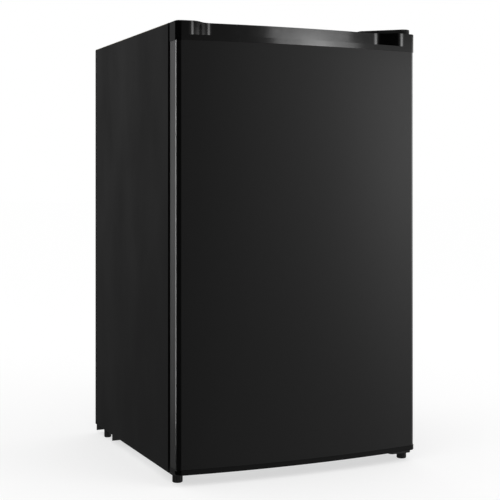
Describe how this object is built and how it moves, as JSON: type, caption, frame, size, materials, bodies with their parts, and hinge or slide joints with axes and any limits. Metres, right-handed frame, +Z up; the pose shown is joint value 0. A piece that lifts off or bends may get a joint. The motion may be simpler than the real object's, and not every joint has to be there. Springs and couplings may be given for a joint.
{
  "type": "compact single-door refrigerator",
  "caption": "Upright compact refrigerator with a bowed black satin door, black recessed finger grip along the door's top, and a freezer compartment inside.",
  "frame": {"origin": "on the floor, in the middle of the footprint, door and hinge cover included", "axes": "+Z up, -Y out of the door's front, +X towards the hinge side, the right as seen from the front"},
  "size_m": [0.496, 0.52, 0.841],
  "materials": {
    "cabinet_paint": "satin black paint, fine leather-grain texture",
    "door_steel": "black coated steel, smooth satin",
    "cap_plastic": "gloss black",
    "hinge_cover_plastic": "fine matte black",
    "liner_white": "vacuum-formed white, soft gloss",
    "door_liner_white": "vacuum-formed white, soft gloss",
    "foam": "rigid polyurethane foam, light",
    "gasket_rubber": "soft matte",
    "magnet_strip": "plain",
    "zinc_steel": "zinc plated",
    "black_steel": "black, satin",
    "screw_steel": "zinc plated",
    "evaporator_aluminium": "satin anodised",
    "clear_plastic": "frosted, slightly blue",
    "rack_plastic": "clear moulded",
    "white_plastic": "moulded white",
    "shelf_glass": "toughened clear glass",
    "compressor_black": "thick gloss black",
    "grommet_rubber": "matte",
    "black_plastic": "fine matte",
    "copper": "drawn copper tube",
    "bush_plastic": "acetal"
  },
  "bodies": {
    "cabinet": {"cabinet_wrap": "cabinet_paint", "back_panel": "black_steel", "back_panel_screws": "screw_steel", "bottom_shield": "zinc_steel", "front_rail": "cabinet_paint", "inner_liner": "liner_white", "cabinet_foam": "foam", "evaporator": "evaporator_aluminium", "evaporator_hangers": "white_plastic", "freezer_trim": "white_plastic", "tray_rails": "white_plastic", "thermostat_housing": "white_plastic", "compressor_tray": "black_steel", "compressor": "compressor_black", "compressor_plate": "black_steel", "compressor_grommets": "grommet_rubber", "compressor_bolts": "screw_steel", "terminal_cover": "black_plastic", "mains_gland": "black_plastic", "evaporation_pan": "black_plastic", "drain_tube": "white_plastic", "discharge_pipe": "copper", "suction_pipe": "copper", "process_pipe": "copper", "filter_drier": "copper", "capillary": "copper", "condenser": "copper", "top_hinge_bracket": "black_steel", "top_hinge_screws": "screw_steel", "top_hinge_pin": "screw_steel", "hinge_cover": "hinge_cover_plastic", "hole_plugs": "black_plastic", "lower_hinge_bracket": "black_steel", "lower_hinge_pin": "screw_steel", "hinge_washer": "bush_plastic", "left_foot_bracket": "black_steel", "bracket_screws": "screw_steel", "rear_feet": "black_plastic"},
    "door": {"door_skin": "door_steel", "door_top_cap": "cap_plastic", "door_bottom_cap": "cap_plastic", "door_liner": "door_liner_white", "door_foam": "foam", "door_gasket": "gasket_rubber", "gasket_magnets": "magnet_strip", "door_hole_plugs": "cap_plastic", "hinge_bushes": "bush_plastic"},
    "freezer_door": {"freezer_flap": "clear_plastic"},
    "tray": {"drip_tray": "clear_plastic"},
    "dial": {"thermostat_dial": "white_plastic"},
    "lower_shelf": {"shelf_glass_lower": "shelf_glass", "shelf_trim_lower": "white_plastic"},
    "upper_shelf": {"shelf_glass_upper": "shelf_glass", "shelf_trim_upper": "white_plastic"},
    "lower_rack": {"door_rack_lower": "rack_plastic"},
    "middle_rack": {"door_rack_middle": "rack_plastic"},
    "upper_rack": {"door_rack_upper": "rack_plastic"},
    "left_foot": {"front_foot_left": "black_plastic"},
    "right_foot": {"front_foot_right": "black_plastic"}
  },
  "joints": [
    {"name": "door_hinge", "type": "hinge", "parent": "cabinet", "child": "door", "pos_m": [0.23, -0.226, 0.4], "axis": [0, 0, 1], "range_deg": [0, 130]},
    {"name": "freezer_flap_hinge", "type": "hinge", "parent": "cabinet", "child": "freezer_door", "pos_m": [0, -0.072, 0.68], "axis": [1, 0, 0], "range_deg": [0, 90]},
    {"name": "drip_tray_slide", "type": "slide", "parent": "cabinet", "child": "tray", "axis": [0, -1, 0], "range_m": [0, 0.085]},
    {"name": "thermostat_turn", "type": "hinge", "parent": "cabinet", "child": "dial", "pos_m": [0.172, 0.017, 0.593], "axis": [-1, 0, 0], "range_deg": [0, 270]},
    {"name": "lower_shelf_slide", "type": "slide", "parent": "cabinet", "child": "lower_shelf", "axis": [0, -1, 0], "range_m": [0, 0.03]},
    {"name": "upper_shelf_slide", "type": "slide", "parent": "cabinet", "child": "upper_shelf", "axis": [0, -1, 0], "range_m": [0, 0.03]},
    {"name": "lower_rack_lift", "type": "slide", "parent": "door", "child": "lower_rack", "axis": [0, 0, 1], "range_m": [0, 0.03]},
    {"name": "middle_rack_lift", "type": "slide", "parent": "door", "child": "middle_rack", "axis": [0, 0, 1], "range_m": [0, 0.03]},
    {"name": "upper_rack_lift", "type": "slide", "parent": "door", "child": "upper_rack", "axis": [0, 0, 1], "range_m": [0, 0.03]},
    {"name": "left_foot_screw", "type": "hinge", "parent": "cabinet", "child": "left_foot", "pos_m": [-0.231, -0.202, 0.006], "axis": [0, 0, 1], "continuous": true},
    {"name": "right_foot_screw", "type": "hinge", "parent": "cabinet", "child": "right_foot", "pos_m": [0.236, -0.212, 0.006], "axis": [0, 0, 1], "continuous": true}
  ]
}
